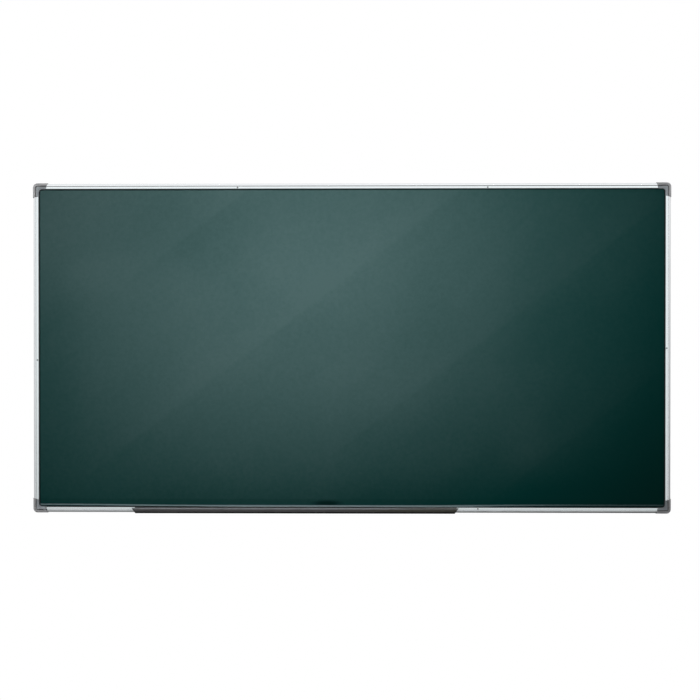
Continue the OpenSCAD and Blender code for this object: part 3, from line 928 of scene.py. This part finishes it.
for railSide in ("top", "bottom", "left", "right"):
    makeRail(railSide)
print("rails made")


# Tray section in millimetres, in the bottom rail's u and v
tray = {
    "middle": -171.0,
    "bodyLength": 972.0,
    "stations": 13,
    "steps": 8,
    "bow": (10.8, 61.8),  # middle of the bowed front wall
    "bowInner": 10.7,
    "bowOuter": 12.5,
    "bead": (18.05, 70.855),
    "beadRadius": 1.5,
    "arcSteps": (22, 26, 22),  # inner bow, outer bow, bead
    "floor": 2.8,
    "trough": 4.6,
    "troughRound": 0.5,
    "floorRound": 0.8,
    "back": 19.3,
    "backFront": 21.1,
    "plateLow": 0.5,
    "plateTop": 16.0,
    "hook": (7.6, 15.5, 1.2, 3.0),  # low edge, deepest face, thickness, reach
    "plateRounds": (0.4, 0.15, 0.2, 0.3, 0.3, 0.2, 0.15, 0.85, 0.85, 0.6),
    "footRounds": (0.4, 0.4),
}


# Arc of a circle as unrounded corners: point = middle + radius (cos a, sin a), a from first to last
def arcCorners(middle, radius, first, last, steps):
    angle = np.linspace(first, last, steps)
    u, v = middle[0] + radius * np.cos(angle), middle[1] + radius * np.sin(angle)
    return np.column_stack([u, v, 0 * angle])


# Angle on a circle where it meets another: bearing of the middles plus the cosine rule's angle
def meetingAngle(middle, radius, otherMiddle, otherRadius):
    gap = np.subtract(otherMiddle, middle)
    span = np.hypot(*gap)
    cosine = (radius ** 2 + span ** 2 - otherRadius ** 2) / (2 * radius * span)
    return math.atan2(gap[1], gap[0]) + math.acos(cosine)


# Tray section in order: back plate with its hook, inside of the bow, bead, outside of the bow, foot
def trayOutline():
    low, deep, thick, reach = tray["hook"]
    back, front = tray["back"], tray["backFront"]
    plate = [
        (tray["plateLow"], back), (low, back), (low, deep), (low + reach, deep),
        (low + reach, deep + thick), (low + thick, deep + thick), (low + thick, back),
        (tray["plateTop"], back), (tray["plateTop"], front), (tray["trough"], front)]
    foot = [(tray["floor"], front), (tray["plateLow"], front)]
    bow, innerR, outerR = tray["bow"], tray["bowInner"], tray["bowOuter"]
    bead, beadR = tray["bead"], tray["beadRadius"]
    innerSteps, outerSteps, beadSteps = tray["arcSteps"]
    inner = arcCorners(bow, innerR, math.acos((tray["trough"] - bow[0]) / innerR),
                       meetingAngle(bow, innerR, bead, beadR), innerSteps)
    outer = arcCorners(bow, outerR, meetingAngle(bow, outerR, bead, beadR),
                       math.acos((tray["floor"] - bow[0]) / outerR), outerSteps)
    leave = np.subtract(inner[-1, :2], bead)
    arrive = np.subtract(outer[0, :2], bead)
    begin, end = math.atan2(leave[1], leave[0]), math.atan2(arrive[1], arrive[0])
    crown = arcCorners(bead, beadR, begin, end if end > begin else end + 2 * math.pi, beadSteps)
    inner[0, 2] = tray["troughRound"]
    outer[-1, 2] = tray["floorRound"]
    return np.vstack([
        np.column_stack([plate, tray["plateRounds"]]), inner, crown[1:-1], outer,
        np.column_stack([foot, tray["footRounds"]])])


def makeTrayChannel():
    loop = roundedLoop(trayOutline(), tray["steps"])
    half = tray["bodyLength"] / 2
    stations = tray["middle"] + np.linspace(-half, half, tray["stations"])
    mesh = sweptShell("tray_channel_drawn", [loop], stations, onSide("bottom"))
    addPiece(mesh, "tray", ["tray_channel"], "tray_plastic")


makeTrayChannel()
print("tray made")


screws = {
    "spokes": 56,
    "sharp": 40,
    "turnStep": 2.4,  # driven by hand, so each recess points its own way
    "recessLength": 1.45,  # half length of a recess arm
    "recessWidth": 0.36,
    "recessDepth": 0.95,
    "recessSoft": 0.1,
    "recessFloor": -0.05,  # only what lies above this on a head is pressed in
    "crownRadius": 1.8,
    "crownRings": 25,
    "flatHead": (
        (0, 0.16), (0.3, 0.158), (0.6, 0.153), (0.9, 0.144), (1.2, 0.13), (1.5, 0.11), (1.8, 0.085),
        (2.1, 0.05), (2.35, 0.01), (2.5, -0.04), (2.57, -0.1), (2.55, -0.16), (1.5, -1.2),
        (1.5, -11), (0.2, -14), (0, -14)),
    "panHead": (
        (0, 1.9), (0.3, 1.89), (0.6, 1.87), (0.9, 1.83), (1.2, 1.77), (1.5, 1.68), (1.8, 1.55),
        (2.1, 1.37), (2.35, 1.16), (2.6, 0.88), (2.78, 0.58), (2.87, 0.3), (2.9, 0.1), (2.88, 0),
        (1.5, 0), (1.5, -7), (0.3, -8), (0, -8)),
    "cornerAt": 34.0,
    "chamberIn": 3.85,
    "capBack": -1.8,
    "hangerBack": -1.5,
    "hangerSpan": 1600.0,
    "hangerGap": 22.0,
}


# Cross recess: depth = full depth * the stronger of two bars, each a product of two smooth edges
def crossRecess(x, y, z):
    soft = screws["recessSoft"]

    def within(distance, limit):
        share = np.clip((limit + soft - np.abs(distance)) / (2 * soft), 0, 1)
        return share * share * (3 - 2 * share)
    long, wide = screws["recessLength"], screws["recessWidth"]
    cross = np.maximum(within(x, long) * within(y, wide), within(y, long) * within(x, wide))
    return screws["recessDepth"] * cross * (z > screws["recessFloor"])


# Finer rings on the crown of a head, where the recess is: heights are read off the profile
def crownedProfile(profile):
    profile = np.array(profile, float)
    rim = int(np.argmax(profile[:, 0] > screws["crownRadius"]))
    crown = np.linspace(0, screws["crownRadius"], screws["crownRings"])
    heights = np.interp(crown, profile[:rim, 0], profile[:rim, 1])
    return np.vstack([np.column_stack([crown, heights]), profile[rim:]])


def makeScrews(name, places, side, head, replaced, firstTurn):
    coords, faces = turnedGrid(crownedProfile(screws[head]), screws["spokes"], crossRecess)
    turns = firstTurn + np.arange(len(places)) * screws["turnStep"]
    mesh = standCopies(name, coords, faces, places, turns, side)
    addPiece(mesh, "board", replaced, "zinc_steel", screws["sharp"])


# Two screws at each corner: place = flip * place at the top right
def cornerScrewPlaces():
    at, edge = screws["cornerAt"], screws["chamberIn"]
    first = np.array([(halfWidth - at, halfHeight - edge), (halfWidth - edge, halfHeight - at)])
    flips = np.array([(1, 1), (-1, 1), (-1, -1), (1, -1)])
    x, z = (flips[:, None] * first).reshape(-1, 2).T
    return np.column_stack([x, 0 * x - rails["standOff"] - screws["capBack"], z])


# Two screws at each hanger: x = half the span, left or right, plus or minus half the gap
def hangerScrewPlaces():
    x = np.array([-1, -1, 1, 1]) * screws["hangerSpan"] / 2
    x = np.tile(x + np.array([-1, 1, -1, 1]) * screws["hangerGap"] / 2, 2)
    high = halfHeight - screws["chamberIn"]
    z = np.repeat((high, -high), 4)
    return np.column_stack([x, 0 * x - rails["standOff"] - screws["hangerBack"], z])


makeScrews("screws_top", screwPlaces("top"), -1, "flatHead", ["top_rail_screws"], 0.35)
makeScrews("screws_bottom", screwPlaces("bottom"), -1, "flatHead", ["bottom_rail_screws"], 1.1)
makeScrews("screw_left", screwPlaces("left"), -1, "flatHead", ["left_rail_screw"], 0.7)
makeScrews("screw_right", screwPlaces("right"), -1, "flatHead", ["right_rail_screw"], 0.15)
makeScrews("screws_corner", cornerScrewPlaces(), 1, "panHead", ["corner_screws"], 0.2)
makeScrews("screws_hanger", hangerScrewPlaces(), 1, "panHead", ["hanger_screws"], 0.9)
print("screws made")


floorPiece = {
    "level": -2.2,
    "reach": 16.0,
    "cells": 8,
    "pale": (0.9, 0.9, 0.9),
    "nearWhite": 0.75,  # share of plain white that the camera sees near the object
    "nearFade": (2.6, 4.8),  # metres from the middle over which the floor turns all white
    "mirrorWhite": 0.3,
}


# Pale floor that keeps the shadow under the board and turns white further off
def floorFinish():
    shading, place = newFinish("paleFloor")
    away = shading.length(shading.stretch(place, (1, 1, 0)))
    near = shading.fade(away, *floorPiece["nearFade"])
    share = shading.ray("Camera") * (1 - near * (1 - floorPiece["nearWhite"]))
    mirrored = shading.ray("Glossy").atLeast(shading.ray("Transmission"))
    share = (share + mirrored * floorPiece["mirrorWhite"]).atMost(1)
    matt = shading.add("ShaderNodeBsdfDiffuse", None, {"Color": floorPiece["pale"]})
    white = shading.add("ShaderNodeEmission", None, {"Color": (1, 1, 1), "Strength": 1.0})
    mixed = shading.add("ShaderNodeMixShader", None, {0: share, 1: matt, 2: white})
    shading.add("ShaderNodeOutputMaterial", None, {"Surface": mixed})
    return shading.owner


# Flat floor on a square grid: z = level
def makeFloor():
    line = np.linspace(-floorPiece["reach"], floorPiece["reach"], floorPiece["cells"] + 1)
    x, y = np.meshgrid(line, line)
    here = np.arange(floorPiece["cells"])
    coords = np.stack([x, y, 0 * x + floorPiece["level"]], -1).reshape(-1, 3)
    faces = gridFaces(len(line), len(line), here, here + 1)
    mesh = newMesh("floor", coords, faces.tolist())
    mesh.materials.append(floorFinish())
    floor = bpy.data.objects.new("floor", mesh)
    scene.collection.objects.link(floor)


makeFloor()


studio = {
    "fill": 0.045,  # light from all round on matt surfaces
    "mirrorFront": (0.85, 1.03),  # what metal sees in front of the board, low down and high up
    "mirrorBack": (0.55, 0.88),  # and round the back of it
    "frontFade": (-0.9, 0.3),
    "lowFade": (-0.16, 0.16),
    "boxes": {
        "key": {
            "at": (0.3, -3.4, 1.7), "aim": (-0.124, 0, 0.28), "size": (2.0, 1.076), "watts": 9.87,
            "spread": 36.46, "roll": 8.77},
        "rear": {"at": (0.3, 2.6, 2.0), "aim": (0, 0, 0), "size": (3.0, 1.6), "watts": 70.0},
        "leftSide": {
            "at": (-2.8, 0.35, 0.7), "aim": (-0.9, 0, 0), "size": (1.0, 1.4), "watts": 28.0},
        "rightSide": {
            "at": (2.8, 0.35, 0.7), "aim": (0.9, 0, 0), "size": (1.0, 1.4), "watts": 22.0},
    },
}


# Softbox: its face looks along aim - at, and its long side is turned by roll from level
def addSoftbox(name, at, aim, size, watts, spread=180, roll=0):
    light = bpy.data.lights.new(name, "AREA")
    light.shape = "RECTANGLE"
    light.size, light.size_y = size
    light.energy = watts
    light.spread = math.radians(spread)
    lamp = bpy.data.objects.new(name, light)
    ahead = (Vector(aim) - Vector(at)).normalized()
    right = ahead.cross(Vector((0, 0, 1))).normalized()
    upward = right.cross(ahead)
    turn = Matrix.Rotation(math.radians(roll), 3, -ahead)
    axes = Matrix((turn @ right, turn @ upward, -ahead)).transposed().to_4x4()
    lamp.matrix_world = Matrix.Translation(at) @ axes
    lamp.visible_camera = False
    lamp.visible_glossy = False
    scene.collection.objects.link(lamp)


# Surroundings: white to the camera, a bright room with a darker lower half to metal,
# and a weak fill to matt surfaces
def makeWorld():
    world = bpy.data.worlds.new("studio")
    shading = Shading(world)
    direction = shading.add("ShaderNodeTexCoord", None, None, "Generated")
    front = shading.fade(shading.axis(direction, "Y"), *studio["frontFade"])
    high = 1 - shading.fade(shading.axis(direction, "Z"), *studio["lowFade"])
    frontLow, frontHigh = studio["mirrorFront"]
    backLow, backHigh = studio["mirrorBack"]
    low = backLow + front * (frontLow - backLow)
    lift = backHigh - backLow + front * (frontHigh - frontLow - backHigh + backLow)
    room = low + high * lift
    seen = shading.ray("Camera")
    mirrored = shading.ray("Glossy").atLeast(shading.ray("Transmission"))
    level = seen + (1 - seen) * (mirrored * room + (1 - mirrored) * studio["fill"])
    shader = shading.add("ShaderNodeBackground", None, {"Color": (1, 1, 1), "Strength": level})
    shading.add("ShaderNodeOutputWorld", None, {"Surface": shader})
    scene.world = world


for boxName, boxValues in studio["boxes"].items():
    addSoftbox(boxName, **boxValues)
makeWorld()


# The photograph is taken almost square on: a little from the right and from above the middle
view = {
    "at": (0.0881, -5.0206, 0.0365),
    "turn": 1.045,
    "tilt": -0.485,
    "lens": 83.34,
    "sensor": 36.0,
}
camera = bpy.data.objects.new("camera", bpy.data.cameras.new("camera"))
camera.data.lens = view["lens"]
camera.data.sensor_width = view["sensor"]
camera.location = view["at"]
camera.rotation_euler = (math.radians(90 + view["tilt"]), 0, math.radians(view["turn"]))
scene.collection.objects.link(camera)
scene.camera = camera
scene.view_settings.view_transform = "Standard"
print("studio set")
